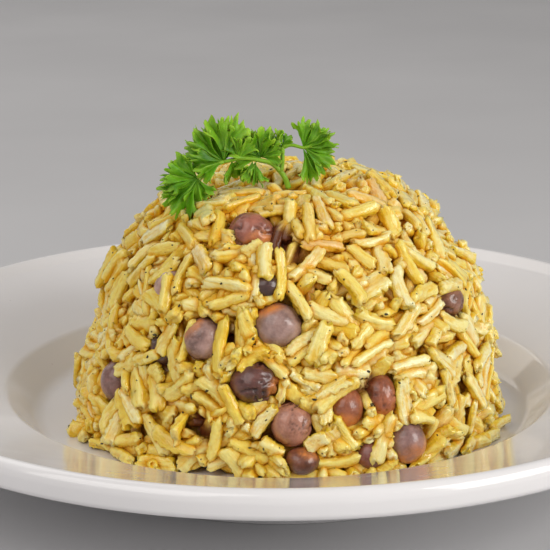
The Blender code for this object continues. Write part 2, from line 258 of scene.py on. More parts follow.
class Finish:
    """A node material under construction: each method adds a node and returns its output."""

    def __init__(self, name):
        self.material = bpy.data.materials.new(name)
        self.material.use_nodes = True
        self.tree = self.material.node_tree
        self.shader = self.tree.nodes["Principled BSDF"]
        self.coordinates = self.tree.nodes.new("ShaderNodeTexCoord").outputs["Object"]

    def set(self, **values):
        for name, value in values.items():
            socket = self.shader.inputs[name.replace("_", " ")]
            socket.default_value = value

    def link(self, source, name):
        self.tree.links.new(source, self.shader.inputs[name])

    def value(self, name, share=1.0):
        """A number for each point, as add_values stored it, or a share of it."""
        node = self.tree.nodes.new("ShaderNodeAttribute")
        node.attribute_name = name
        whole = node.outputs["Fac"]
        return whole if share == 1.0 else self.maths("MULTIPLY", whole, share)

    def own_place(self, name):
        """A vector for each point, which follows a thing however it lies."""
        node = self.tree.nodes.new("ShaderNodeAttribute")
        node.attribute_name = name
        return node.outputs["Vector"]

    def noise(self, scale, detail=3.0, roughness=0.5, stretch=None, source=None):
        node = self.tree.nodes.new("ShaderNodeTexNoise")
        node.inputs["Scale"].default_value = scale
        node.inputs["Detail"].default_value = detail
        node.inputs["Roughness"].default_value = roughness
        source = source or self.coordinates
        if stretch:
            mapping = self.tree.nodes.new("ShaderNodeMapping")
            mapping.inputs["Scale"].default_value = stretch
            self.tree.links.new(source, mapping.inputs["Vector"])
            source = mapping.outputs["Vector"]
        self.tree.links.new(source, node.inputs["Vector"])
        return node.outputs["Fac"]

    def spots(self, scale):
        node = self.tree.nodes.new("ShaderNodeTexVoronoi")
        node.inputs["Scale"].default_value = scale
        self.tree.links.new(self.coordinates, node.inputs["Vector"])
        return node.outputs["Distance"]

    def ramp(self, source, *stops):
        """Stops are (position, value) or (position, (red, green, blue))."""
        node = self.tree.nodes.new("ShaderNodeValToRGB")
        steps = node.color_ramp.elements
        while len(steps) < len(stops):
            steps.new(0.5)
        for step, (position, colour) in zip(steps, stops):
            step.position = position
            shade = colour if isinstance(colour, tuple) else (colour, colour, colour)
            step.color = (*shade, 1.0)
        self.tree.links.new(source, node.inputs["Fac"])
        return node.outputs["Color"]

    def mix(self, amount, first, second):
        """Mix two colours; amount and each colour may be an output or a fixed value."""
        node = self.tree.nodes.new("ShaderNodeMix")
        node.data_type = "RGBA"
        for socket, given in ((node.inputs[0], amount), (node.inputs[6], first), (node.inputs[7], second)):
            if isinstance(given, bpy.types.NodeSocket):
                self.tree.links.new(given, socket)
            elif isinstance(given, tuple):
                socket.default_value = (*given, 1.0)
            else:
                socket.default_value = given
        return node.outputs[2]

    def maths(self, kind, first, second):
        """A sum of two numbers; each may be an output or a fixed value."""
        node = self.tree.nodes.new("ShaderNodeMath")
        node.operation = kind
        for socket, given in zip(node.inputs, (first, second)):
            if isinstance(given, bpy.types.NodeSocket):
                self.tree.links.new(given, socket)
            else:
                socket.default_value = given
        return node.outputs[0]

    def bump(self, height, depth_mm, strength=1.0, film=None):
        """Relief, of which the film on something wet follows the share given."""
        node = self.tree.nodes.new("ShaderNodeBump")
        node.inputs["Strength"].default_value = strength
        node.inputs["Distance"].default_value = depth_mm * MM
        self.tree.links.new(height, node.inputs["Height"])
        self.link(node.outputs["Normal"], "Normal")
        if film:
            over = self.tree.nodes.new("ShaderNodeBump")
            over.inputs["Strength"].default_value = strength
            over.inputs["Distance"].default_value = depth_mm * MM * film
            self.tree.links.new(height, over.inputs["Height"])
            self.link(over.outputs["Normal"], "Coat Normal")


def unit(rows):
    """Each row as a vector one long."""
    return rows / np.maximum(np.linalg.norm(rows, axis=-1, keepdims=True), 1e-9)


# ---------------------------------------------------------------------------------------------------
# Camera, floor and light


def make_camera():
    lens = bpy.data.cameras.new("camera")
    lens.lens = CAMERA_LENS
    lens.sensor_width = CAMERA_SENSOR
    lens.clip_start = 0.01
    camera = bpy.data.objects.new("camera", lens)
    camera.location = CAMERA_PLACE * MM
    camera.rotation_euler = (math.radians(90.0 - CAMERA_PITCH), math.radians(CAMERA_ROLL), 0.0)
    bpy.context.scene.collection.objects.link(camera)
    bpy.context.scene.camera = camera


def make_light(name, azimuth, elevation, distance, size, power, colour):
    """A square softbox that looks at the mound from degrees round from the front and above the table."""
    lamp = bpy.data.lights.new(name, "AREA")
    lamp.size = size
    lamp.energy = power
    lamp.color = colour
    light = bpy.data.objects.new(name, lamp)
    turn, rise = math.radians(azimuth), math.radians(elevation)
    way = Vector((math.sin(turn) * math.cos(rise), -math.cos(turn) * math.cos(rise), math.sin(rise)))
    light.location = way * distance + Vector((0.0, 0.0, 0.03))
    light.rotation_euler = way.to_track_quat("Z", "Y").to_euler()
    bpy.context.scene.collection.objects.link(light)


def make_stage():
    finish = Finish("floor_paint")
    tone = finish.ramp(finish.noise(6.0), (0.35, (0.52, 0.52, 0.53)), (0.65, (0.56, 0.56, 0.57)))
    finish.link(tone, "Base Color")
    finish.set(Roughness=0.65)
    half = 3000.0
    points = [(-half, -half, 0.0), (half, -half, 0.0), (half, half, 0.0), (-half, half, 0.0)]
    new_piece("floor", points, np.array([[0, 1, 2, 3]]), finish.material, None, smooth=False)
    world = bpy.data.worlds.new("studio")
    world.use_nodes = True
    sky = world.node_tree.nodes["Background"]
    sky.inputs["Color"].default_value = (1.0, 0.97, 0.95, 1.0)
    sky.inputs["Strength"].default_value = 0.33
    bpy.context.scene.world = world
    make_light("key", 58.0, 25.0, 0.95, 0.55, 6.2, (1.0, 0.97, 0.93))
    make_light("fill", -44.0, 42.0, 1.1, 0.9, 4.7, (1.0, 0.96, 0.93))
    make_light("back", -140.0, 40.0, 1.1, 0.8, 2.0, (1.0, 0.97, 0.95))
    bpy.context.scene.view_settings.view_transform = "Standard"


# ---------------------------------------------------------------------------------------------------
# Plate


def rounded(corners, arc_step=9.0):
    """An outline whose corners, given as (radius, height, rounding), become arcs."""
    outline = []
    for place, (across, up, rounding) in enumerate(corners):
        here = np.array((across, up))
        if rounding == 0.0 or place in (0, len(corners) - 1):
            outline.append(here)
            continue
        before = unit(np.array(corners[place - 1][:2]) - here)
        after = unit(np.array(corners[place + 1][:2]) - here)
        half_angle = math.acos(np.clip(before @ after, -1.0, 1.0)) / 2.0
        middle = here + unit(before + after) * rounding / math.sin(half_angle)
        start = here + before * rounding / math.tan(half_angle) - middle
        end = here + after * rounding / math.tan(half_angle) - middle
        sweep = math.atan2(start[0] * end[1] - start[1] * end[0], start @ end)
        steps = max(2, math.ceil(abs(math.degrees(sweep)) / arc_step))
        for turn in np.linspace(0.0, sweep, steps + 1):
            turned = (start[0] * math.cos(turn) - start[1] * math.sin(turn),
                      start[0] * math.sin(turn) + start[1] * math.cos(turn))
            outline.append(middle + np.array(turned))
    return np.array(outline)


def ring_faces(rings, sides):
    """Quads between neighbouring rings of points that are stored ring after ring."""
    ring, side = np.meshgrid(np.arange(rings - 1), np.arange(sides), indexing="ij")
    following = (side + 1) % sides
    low, high = ring * sides, (ring + 1) * sides
    return np.stack([low + side, low + following, high + following, high + side], -1).reshape(-1, 4)


def capped_faces(rings, sides):
    """Quads between rings, and a fan at each end round two last points: the first ring's, then the last's."""
    faces = ring_faces(rings, sides).tolist()
    count = rings * sides
    last = count - sides
    for side in range(sides):
        following = (side + 1) % sides
        faces.append([count, following, side])
        faces.append([count + 1, last + side, last + following])
    return faces


def make_plate():
    """Thick glazed plate: foot ring, deep well, rounded shoulder, sloping marly and rolled lip."""
    corners = (
        (0.0, 2.0, 0.0),
        (40.7, 2.0, 0.6),
        (41.3, 0.0, 0.6),
        (44.3, 0.0, 0.6),
        (45.7, 1.8, 1.8),
        (58.0, 10.6, 8.0),
        (84.6, 18.8, 0.5),
        (PLATE_RADIUS, 18.8, 1.4),
        (PLATE_RADIUS, 22.2, 2.2),
        (86.5, 25.1, 1.8),
        (82.2, 22.4, 4.0),
        (57.3, 14.8, 3.0),
        (51.2, FLOOR_OF_WELL, 4.5),
        (0.0, FLOOR_OF_WELL, 0.0),
    )
    outline = rounded(corners)
    turn = np.arange(PLATE_SIDES) * 2.0 * math.pi / PLATE_SIDES
    rings = outline[1:-1]
    points = np.stack([rings[:, :1] * np.cos(turn), rings[:, :1] * np.sin(turn),
                       np.repeat(rings[:, 1:], PLATE_SIDES, 1)], -1)
    points = np.vstack([points.reshape(-1, 3), [0.0, 0.0, outline[0][1]], [0.0, 0.0, outline[-1][1]]])
    faces = capped_faces(len(rings), PLATE_SIDES)
    finish = Finish("glaze")
    cloud = finish.ramp(finish.noise(22.0, 4.0), (0.3, (0.77, 0.76, 0.77)), (0.7, (0.82, 0.81, 0.82)))
    specks = finish.ramp(finish.spots(260.0), (0.035, 1.0), (0.06, 0.0))
    sparse = finish.ramp(finish.noise(90.0, 2.0), (0.60, 0.0), (0.66, 1.0))
    marks = finish.maths("MULTIPLY", finish.maths("MULTIPLY", specks, sparse), 0.35)
    finish.link(finish.mix(marks, cloud, (0.35, 0.33, 0.32)), "Base Color")
    finish.link(finish.ramp(finish.noise(140.0, 5.0), (0.3, 0.10), (0.8, 0.20)), "Roughness")
    finish.set(IOR=1.52, Coat_Weight=0.5, Coat_Roughness=0.05)
    finish.bump(finish.noise(30.0, 2.0), 0.12, 0.5)
    plate = new_piece("glazed_plate", points, faces, finish.material, "glaze")
    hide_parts("plate")


# ---------------------------------------------------------------------------------------------------
# Mound of rice


def envelope_point(across, turn, height):
    """Point of the mound's uneven outline, from the smooth dome that it departs from."""
    point = Vector((across * math.cos(turn), across * math.sin(turn), height))
    clump = noise.noise(point / CLUMP_SIZE) * CLUMP_DEPTH
    sag = noise.noise(point / SAG_SIZE + Vector((5.0, 1.0, 3.0))) * SAG_DEPTH
    share = height / MOUND_HEIGHT
    outward = Vector((point.x, point.y, point.z * share)).normalized()
    moved = point + outward * (clump + sag)
    return moved + Vector((MOUND_CENTRE_X + MOUND_LEAN * share, 0.0, MOUND_BASE))


def envelope_mesh(rings=72, sides=216):
    """Points and quads of the mound's outline, from its foot up to the middle of its top."""
    points = []
    for ring in range(rings):
        rise = 0.5 * math.pi * min(ring / (rings - 1), 0.9999)
        across = MOUND_RADIUS * math.cos(rise) ** (2.0 / MOUND_SIDE_POWER)
        height = MOUND_HEIGHT * math.sin(rise) ** (2.0 / MOUND_TOP_POWER)
        for side in range(sides):
            points.append(envelope_point(across, 2.0 * math.pi * side / sides, height))
    return points, ring_faces(rings, sides).tolist()


class Mound:
    """The uneven outline of the heap, with depth below it measured for many points at once."""

    def __init__(self):
        self.points, self.faces = envelope_mesh()
        self.tree = BVHTree.FromPolygons(self.points, self.faces)
        corners = np.array(self.points)[np.array(self.faces)]
        across = np.cross(corners[:, 2] - corners[:, 0], corners[:, 3] - corners[:, 1])
        self.face_area = np.linalg.norm(across, axis=1) / 2.0
        self.face_middle = corners.mean(1)
        self.face_normal = unit(across)

    def depth(self, points):
        """How far each point lies inside the outline, and the direction out."""
        flat = points.reshape(-1, 3)
        depths = np.empty(len(flat))
        outward = np.empty((len(flat), 3))
        for place, point in enumerate(flat):
            near, normal, _, distance = self.tree.find_nearest(Vector(point))
            inside = (near - Vector(point)).dot(normal)
            depths[place] = distance if inside > 0.0 else -distance
            outward[place] = normal
        return depths.reshape(points.shape[:-1]), outward.reshape(points.shape)


def near_pairs(points, reach):
    """Index pairs of points that may lie within reach, found through a grid of cells."""
    cells = np.floor(points / reach).astype(np.int64)
    cells -= cells.min(0) - 1
    size = cells.max(0) + 2
    key = (cells[:, 0] * size[1] + cells[:, 1]) * size[2] + cells[:, 2]
    order = np.argsort(key, kind="stable")
    ranked = key[order]
    firsts, seconds = [], []
    places = np.arange(len(points))
    own_cell = 13  # of the 27 cells round a point; those after it would give the same pairs again
    for step in range(own_cell + 1):
        x, y, z = step // 9, step // 3 % 3, step % 3
        shift = ((x - 1) * size[1] + (y - 1)) * size[2] + (z - 1)
        if step == own_cell:
            low = places + 1
            high = np.searchsorted(ranked, ranked, "right")
        else:
            low = np.searchsorted(ranked, ranked + shift, "left")
            high = np.searchsorted(ranked, ranked + shift, "right")
        counts = np.maximum(high - low, 0)
        first = np.repeat(places, counts)
        offset = np.arange(counts.sum()) - np.repeat(np.cumsum(counts) - counts, counts)
        firsts.append(order[first])
        seconds.append(order[np.repeat(low, counts) + offset])
    return np.concatenate(firsts), np.concatenate(seconds)


def push_apart(beads, owners, reach, held):
    """Moves that take overlapping beads of different grains off each other; held ones push without moving."""
    first, second = near_pairs(beads, reach)
    keep = owners[first] != owners[second]
    first, second = first[keep], second[keep]
    gap = beads[first] - beads[second]
    distance = np.linalg.norm(gap, axis=1)
    close = (distance < reach) & (distance > 1e-6)
    first, second, gap, distance = first[close], second[close], gap[close], distance[close]
    push = gap / distance[:, None] * (reach - distance)[:, None] * 0.5
    push = push * (1.0 + (held[first] | held[second]))[:, None]
    moves = np.zeros_like(beads)
    touches = np.bincount(first, minlength=len(beads)) + np.bincount(second, minlength=len(beads))
    for axis in range(3):
        moves[:, axis] += np.bincount(first, push[:, axis], len(beads))
        moves[:, axis] -= np.bincount(second, push[:, axis], len(beads))
    return moves / np.maximum(touches, 1)[:, None] * GRAIN_PUSH


def facing_at(turn, height):
    """Directions at a place on the smooth dome: towards greater turn, up its face, and straight out of it."""
    angle = math.radians(turn)
    level = np.array((math.cos(angle), math.sin(angle), 0.0))
    away = np.array((math.sin(angle), -math.cos(angle), 0.0))
    slope = dome_width(height - 0.5) - dome_width(height + 0.5)
    out = unit(away + np.array((0.0, 0.0, slope)))
    return level, np.cross(out, level), out


def dome_width(height):
    """Radius of the smooth dome at a height above its base."""
    share = min(max(height / MOUND_HEIGHT, 0.0), 0.9999)
    return MOUND_RADIUS * (1.0 - share ** MOUND_TOP_POWER) ** (1.0 / MOUND_SIDE_POWER)


def dome_point(turn, height):
    """Point on the mound's face at degrees round from the front towards +X, and height above its base."""
    return np.array(envelope_point(dome_width(height), math.radians(turn - 90.0), max(height, 0.0)))


def pea_shapes():
    """Each pea's middle, half size, three directions (across, deep, upright), and whether it shows."""
    peas = []
    for name in PEA_NODES:
        low, high = box_mm(name)
        middle = (low + high) / 2.0
        turn = math.degrees(math.atan2(middle[0] - MOUND_CENTRE_X, -middle[1]))
        level, up, out = facing_at(turn, middle[2] - MOUND_BASE)
        across, deep, upright = PEA_SIZES.get(name, PEA_SIZE)
        half = np.array((across, deep, upright)) / 2.0
        peas.append((middle, half, np.array((level, -out, up)), name not in SUNK_PEAS))
    return peas


def push_off_peas(beads, moves, peas):
    """Moves that take beads off the peas, out of the way of those that show, and out of the hollows."""
    for turn, height, radius in HOLLOWS:
        local = beads - dome_point(turn, height)
        distance = np.linalg.norm(local, axis=1)
        inside = distance < radius + GRAIN_RADIUS
        grow = ((radius + GRAIN_RADIUS) / np.maximum(distance[inside], 0.5) - 1.0)[:, None]
        moves[inside] += local[inside] * (grow * PEA_PUSH)
    for middle, half, axes, clear in peas:
        local = (beads - middle) @ axes.T
        if clear:
            local[:, 1] = np.maximum(local[:, 1], 0.0)
        room = half + GRAIN_RADIUS * (1.0 if clear else SUNK_PEA_ROOM)
        distance = np.linalg.norm(local / room, axis=1)
        inside = distance < 1.0
        grow = (1.0 / np.maximum(distance[inside], 0.25) - 1.0)[:, None]
        moves[inside] += (local[inside] @ axes) * grow * PEA_PUSH


def key_grains():
    """The grains set one by one, as middles, directions, lengths and kinds."""
    middles, alongs, lengths, kinds = [], [], [], []
    for turn, height, lean, length, depth, kind in KEY_GRAINS:
        level, up, out = facing_at(turn, height)
        tilt = math.radians(lean)
        middles.append(dome_point(turn, height) - out * (depth + GRAIN_RADIUS * 0.5))
        alongs.append(level * math.cos(tilt) + up * math.sin(tilt))
        lengths.append(length)
        kinds.append(list(KINDS).index(kind))
    return np.array(middles), unit(np.array(alongs)), np.array(lengths), np.array(kinds)


def foot_grains(rng):
    """Grains that have slipped off the heap and lie on the floor of the well round it."""
    turns = np.concatenate([rng.uniform(*reach, count) for reach, count in FOOT_GRAINS])
    middles, alongs = [], []
    for turn in turns:
        level, _, _ = facing_at(turn, 0.0)
        away = np.array((level[1], -level[0], 0.0))
        place = dome_point(turn, 0.0) + away * rng.uniform(-0.6, 1.0)
        place[2] = FLOOR_OF_WELL + GRAIN_RADIUS
        middles.append(place)
        alongs.append(level + away * rng.normal(0.0, 0.6))
    lengths = rng.uniform(5.0, 8.5, len(turns))
    return np.array(middles), unit(np.array(alongs)), lengths, rng.choice(len(KINDS), len(turns))


def scatter_grains(rng, mound):
    """Random grains through the outer shell of the mound, most of them along its face and each other."""
    pick = rng.choice(len(mound.face_area), GRAIN_COUNT, p=mound.face_area / mound.face_area.sum())
    normal = mound.face_normal[pick]
    middle = mound.face_middle[pick] - normal * rng.uniform(1.0, SHELL_DEPTH - 1.0, (GRAIN_COUNT, 1))
    drift = np.array([noise.noise(Vector(place / CLUMP_SIZE)) for place in middle]) * 6.0
    swing = (drift + rng.normal(0.0, 0.65, GRAIN_COUNT))[:, None]
    level = unit(np.cross((0.02, 0.01, 1.0), normal))
    along = level * np.cos(swing) + np.cross(normal, level) * np.sin(swing)
    along = unit(along + normal * rng.normal(0.0, 0.36, (GRAIN_COUNT, 1)))
    shares, lengths = np.array(list(KINDS.values()))[:, :2].T
    kind = rng.choice(len(KINDS), GRAIN_COUNT, p=shares)
    length = lengths[kind] + rng.normal(0.0, 0.60, GRAIN_COUNT)
    return middle, along, length, kind


def settle(rng, mound, middle, along, length, held):
    """Push grains apart inside the outline until they pack, each kept straight; held ones stay put."""
    peas = pea_shapes()
    proud = np.abs(rng.normal(0.0, 0.50, len(middle)))
    proud += np.where(rng.random(len(middle)) < 0.16, 0.9, 0.0)
    span = (length / 2.0 - GRAIN_RADIUS * 0.8)[:, None] * np.linspace(-1.0, 1.0, GRAIN_BEADS)
    owners = np.repeat(np.arange(len(middle)), GRAIN_BEADS)
    free = (~held).astype(float)[:, None, None]
    held_beads = np.repeat(held, GRAIN_BEADS)
    steps = SETTLE_STEPS
    for step in range(steps):
        beads = middle[:, None, :] + along[:, None, :] * span[:, :, None]
        flat = beads.reshape(-1, 3)
        moves = push_apart(flat, owners, 2.0 * GRAIN_RADIUS * BEAD_SHARE, held_beads)
        push_off_peas(flat, moves, peas)
        depth, outward = mound.depth(beads)
        need = GRAIN_RADIUS * 0.9 - proud[:, None]
        correction = np.where(depth < need, depth - need, 0.0)
        correction = np.where(depth > SHELL_DEPTH, (depth - SHELL_DEPTH) * 0.5, correction)
        moves = moves.reshape(beads.shape) + outward * correction[:, :, None] * OUTLINE_PULL
        under = np.maximum(MOUND_BASE + GRAIN_RADIUS - beads[:, :, 2], 0.0)
        moves[:, :, 2] += under
        beads = beads + moves * free
        middle = beads.mean(1)
        along = unit((beads * span[:, :, None]).sum(1))
    depth, outward = mound.depth(middle)
    return middle, along, depth, outward


class Packing:
    """The settled grains, kept in a grid of cells so that the nearest one to a point is found."""

    def __init__(self, middle, along, length):
        self.middle, self.along = middle, along
        self.half = length / 2.0 - GRAIN_RADIUS
        span = self.half[:, None] * np.linspace(-1.0, 1.0, GRAIN_BEADS)
        beads = (middle[:, None, :] + along[:, None, :] * span[:, :, None]).reshape(-1, 3)
        cells = np.floor(beads / NEAR_CELL).astype(np.int64)
        self.low = cells.min(0) - 3
        self.size = cells.max(0) - self.low + 4
        key = self.key(cells)
        order = np.argsort(key, kind="stable")
        self.ranked = key[order]
        self.owner = np.repeat(np.arange(len(middle)), GRAIN_BEADS)[order]

    def key(self, cells):
        cells = np.clip(cells - self.low, 0, self.size - 1)
        return (cells[:, 0] * self.size[1] + cells[:, 1]) * self.size[2] + cells[:, 2]

    def nearness(self, points, mine):
        """1 at points that touch another grain than their own, 0 from NEAR_REACH off it."""
        nearest = np.full(len(points), 9.0)
        cells = np.floor(points / NEAR_CELL).astype(np.int64)
        for step in range(9):
            x, y = step // 3 - 1, step % 3 - 1
            low = np.searchsorted(self.ranked, self.key(cells + (x, y, -1)), "left")
            high = np.searchsorted(self.ranked, self.key(cells + (x, y, 1)), "right")
            counts = high - low
            which = np.repeat(np.arange(len(points)), counts)
            offset = np.arange(counts.sum()) - np.repeat(np.cumsum(counts) - counts, counts)
            other = self.owner[np.repeat(low, counts) + offset]
            which, other = which[other != mine[which]], other[other != mine[which]]
            gap = points[which] - self.middle[other]
            slide = np.clip((gap * self.along[other]).sum(1), -self.half[other], self.half[other])
            distance = np.linalg.norm(gap - self.along[other] * slide[:, None], axis=1)
            np.minimum.at(nearest, which, distance)
        return np.clip(1.0 - (nearest - GRAIN_RADIUS * 0.95) / NEAR_REACH, 0.0, 1.0)


def bell(angle, centre, width):
    """A smooth hump round an angle, 1 at its centre."""
    off = (angle - centre + math.pi) % (2.0 * math.pi) - math.pi
    return np.exp(-0.5 * (off / width) ** 2)


def grain_model(rng, kind, rings, around):
    """One cooked grain, 1 long along X: a ridged, flattened body with creased sides and torn blunt ends. Each
    row is a point, with its width, thickness and bend in millimetres, and how deep it lies in a groove."""
    sides = np.arange(around) * 2.0 * math.pi / around
    rows = np.sin(np.linspace(-1.0, 1.0, rings) * 1.40) / math.sin(1.40)
    along, angle = np.meshgrid(rows, sides, indexing="ij")
    width, thick, bend, fray, power = KINDS[kind][2:]
    width *= rng.uniform(0.80, 1.22)
    thick *= rng.uniform(0.88, 1.12)
    girth = (1.0 - np.abs(along * 0.99) ** power) ** 0.5
    girth = girth * (1.0 + rng.uniform(-0.16, 0.16) * along - rng.uniform(-0.02, 0.12) * along ** 2)
    square = (np.abs(np.cos(angle)) ** 3.2 + np.abs(np.sin(angle)) ** 3.2) ** (-1.0 / 3.2)
    form = girth * square
    # Ridges along it, two creases, fine relief, and frayed edges at both sides.
    ridges = rng.integers(2, 5)
    phase = rng.uniform(0.0, 6.28)
    wander = 0.35 * np.sin(rng.uniform(2.0, 4.0) * along + rng.uniform(0.0, 6.28))
    form = form * (1.0 + rng.uniform(0.05, 0.13) * np.sin(ridges * angle + phase + wander))
    for _ in range(2):
        seam = rng.uniform(0.0, 6.28) + 0.4 * along
        extent = np.exp(-((along - rng.uniform(-0.6, 0.6)) / rng.uniform(0.3, 0.9)) ** 2)
        form = form * (1.0 - rng.uniform(0.12, 0.34) * extent * bell(angle, seam, 0.26))
    for _ in range(8):
        waves = rng.uniform(4.0, 18.0) * along + rng.integers(1, 6) * angle
        form = form * (1.0 + rng.uniform(0.012, 0.036) * np.sin(waves + rng.uniform(0.0, 6.28)))
    for edge in (rng.uniform(-0.3, 0.3), math.pi + rng.uniform(-0.3, 0.3)):
        frill = np.sin(rng.uniform(14.0, 26.0) * along + rng.uniform(0.0, 6.28))
        frill = frill + np.sin(rng.uniform(30.0, 44.0) * along + rng.uniform(0.0, 6.28))
        form = form * (1.0 + rng.uniform(0.05, 0.12) * frill * bell(angle, edge, 0.36))
    if kind == "burst":
        seam = rng.uniform(0.0, 6.28)
        opening = np.clip((along - rng.uniform(-0.3, 0.5)) / 0.5, 0.0, 1.0)
        form = form * (1.0 + 0.16 * opening - 0.55 * opening * bell(angle, seam, 0.34))
        form = form * (1.0 - 0.32 * opening * bell(angle, seam + math.pi, 0.34))
    form = form * (1.0 + rng.normal(0.0, 0.022, form.shape))
    # Torn ends, then the twist and the bend of the whole.
    ends = np.zeros_like(along)
    for turns in range(1, 7):
        ends += rng.uniform(0.3, 1.0) / turns ** 0.4 * np.sin(turns * angle + rng.uniform(0.0, 6.28))
    ends -= rng.uniform(0.0, 2.6) * bell(angle, rng.uniform(0.0, 6.28), 0.45)
    x = along * 0.5 + np.sign(along) * np.abs(along) ** 10 * fray * ends
    y = form * np.cos(angle) * width
    z = form * np.sin(angle) * thick
    twist = rng.uniform(-0.7, 0.7) * along
    y, z = y * np.cos(twist) - z * np.sin(twist), y * np.sin(twist) + z * np.cos(twist)
    y = y + bend * rng.uniform(0.3, 1.2) * (along ** 2 - 0.33)
    z = z + 0.30 * rng.uniform(-1.0, 1.0) * along ** 3 + 0.25 * rng.uniform(-1.0, 1.0) * (along ** 2 - 0.33)
    points = np.stack([x, y, z], -1).reshape(-1, 3)
    first, final = points[:around].mean(0), points[-around:].mean(0)
    smooth = girth * square
    groove = np.clip((0.97 - form / np.maximum(smooth, 0.05)) / 0.20, 0.0, 1.0).reshape(-1)
    points = np.vstack([points, first + (0.006, 0.0, 0.0), final - (0.006, 0.0, 0.0)])
    return np.hstack([points, np.append(groove, [0.5, 0.5])[:, None]])


def rice_finish():
    finish = Finish("rice")
    own = finish.own_place("own")
    streaks = finish.noise(1.15, 3.0, 0.55, stretch=(0.20, 1.0, 1.0), source=own)
    # Painted light and shade: grain faces turned out of the mound take the paler lit crown colour, and faces
    # turned in take the darker shaded flank colour. Both also vary from grain to grain by tint.
    shaded_flank = finish.ramp(finish.value("tint"), (0.0, (0.86, 0.55, 0.030)), (1.0, (0.91, 0.69, 0.065)))
    lit_crown = finish.ramp(finish.value("tint"), (0.0, (0.91, 0.71, 0.12)), (0.45, (0.94, 0.80, 0.25)),
                        (1.0, (0.96, 0.88, 0.50)))
    mottle = finish.maths("MULTIPLY", finish.noise(850.0, 4.0, 0.6), 0.80)
    facing = finish.maths("ADD", finish.value("facing"), finish.maths("ADD", mottle, streaks))
    lit_share = finish.ramp(finish.maths("MULTIPLY", facing, 0.5), (0.58, 0.0), (0.94, 1.0))
    base = finish.mix(lit_share, shaded_flank, lit_crown)
    # Painted shade: the low furrows of the streaks, which the bump also sinks, are darker gold.
    furrow_shade = finish.ramp(streaks, (0.32, 0.60), (0.47, 0.0))
    base = finish.mix(furrow_shade, base, (0.84, 0.53, 0.014))
    # Painted shade in each grain's creases.
    base = finish.mix(finish.value("groove", 0.60), base, (0.82, 0.48, 0.008))
    base = finish.mix(finish.value("tip", 0.50), base, (0.94, 0.83, 0.40))
    # Painted shade: the deeper a point lies below the mound's outline, the darker and more orange it is.
    deep = finish.ramp(finish.value("depth"), (0.0, 0.0), (0.30, 0.50), (1.0, 0.95))
    base = finish.mix(deep, base, (0.78, 0.385, 0.018))
    # Painted shade where a grain touches, or nearly touches, another.
    near = finish.ramp(finish.value("near"), (0.15, 0.0), (0.75, 0.62), (1.0, 0.92))
    base = finish.mix(near, base, (0.80, 0.385, 0.011))
    base = finish.mix(finish.value("stain"), base, (0.80, 0.30, 0.003))
    # Painted shade: dark brown in the hollows, below the outer grains.
    base = finish.mix(finish.value("soak"), base, (0.150, 0.040, 0.012))
    finish.link(base, "Base Color")
    finish.link(finish.ramp(finish.noise(1500.0, 3.0), (0.3, 0.30), (0.7, 0.50)), "Roughness")
    finish.set(Subsurface_Weight=0.60, Subsurface_Scale=0.0010, Subsurface_Radius=(0.70, 0.70, 0.65))
    finish.set(Specular_IOR_Level=0.12, Specular_Tint=(1.0, 0.86, 0.50, 1.0), Coat_Roughness=0.10)
    sheltered = finish.maths("MAXIMUM", finish.value("near"), finish.value("depth"))
    finish.link(finish.ramp(sheltered, (0.20, 0.90), (0.70, 0.04)), "Coat Weight")
    rough = finish.maths("MULTIPLY", finish.noise(1500.0, 4.0, 0.65), 0.60)
    finish.bump(finish.maths("ADD", streaks, rough), 0.60, 0.9, film=0.05)
    return finish.material


# Places where annatto oil stains the rice orange: degrees from the front, height, reach, strength.
STAINS = ((14.5, 44.0, 6.0, 0.60), (-10.0, 48.6, 5.0, 0.65), (-20.0, 49.0, 7.0, 0.55),
          (60.0, 48.0, 6.0, 0.50), (-35.0, 40.0, 6.0, 0.35), (-150.0, 30.0, 9.0, 0.35),
          (120.0, 20.0, 8.0, 0.30), (170.0, 44.0, 8.0, 0.35))


def stain_amount(points):
    """How much annatto oil colours each point."""
    amount = np.zeros(len(points))
    for turn, height, reach, strength in STAINS:
        distance = np.linalg.norm(points - dome_point(turn, height), axis=1)
        amount = np.maximum(amount, strength * np.exp(-(distance / reach) ** 2))
    return amount


def hollow_shade_amount(points, depth):
    """How much painted shade darkens each point: only in the hollows, below the outer grains."""
    amount = np.zeros(len(points))
    for turn, height, radius in HOLLOWS:
        _, _, out = facing_at(turn, height)
        distance = np.linalg.norm(points - dome_point(turn, height) + out * radius, axis=1)
        amount = np.maximum(amount, np.clip(2.0 - distance / radius, 0.0, 1.0))
    return amount * np.clip((depth - 0.8) / 1.2, 0.0, 1.0)


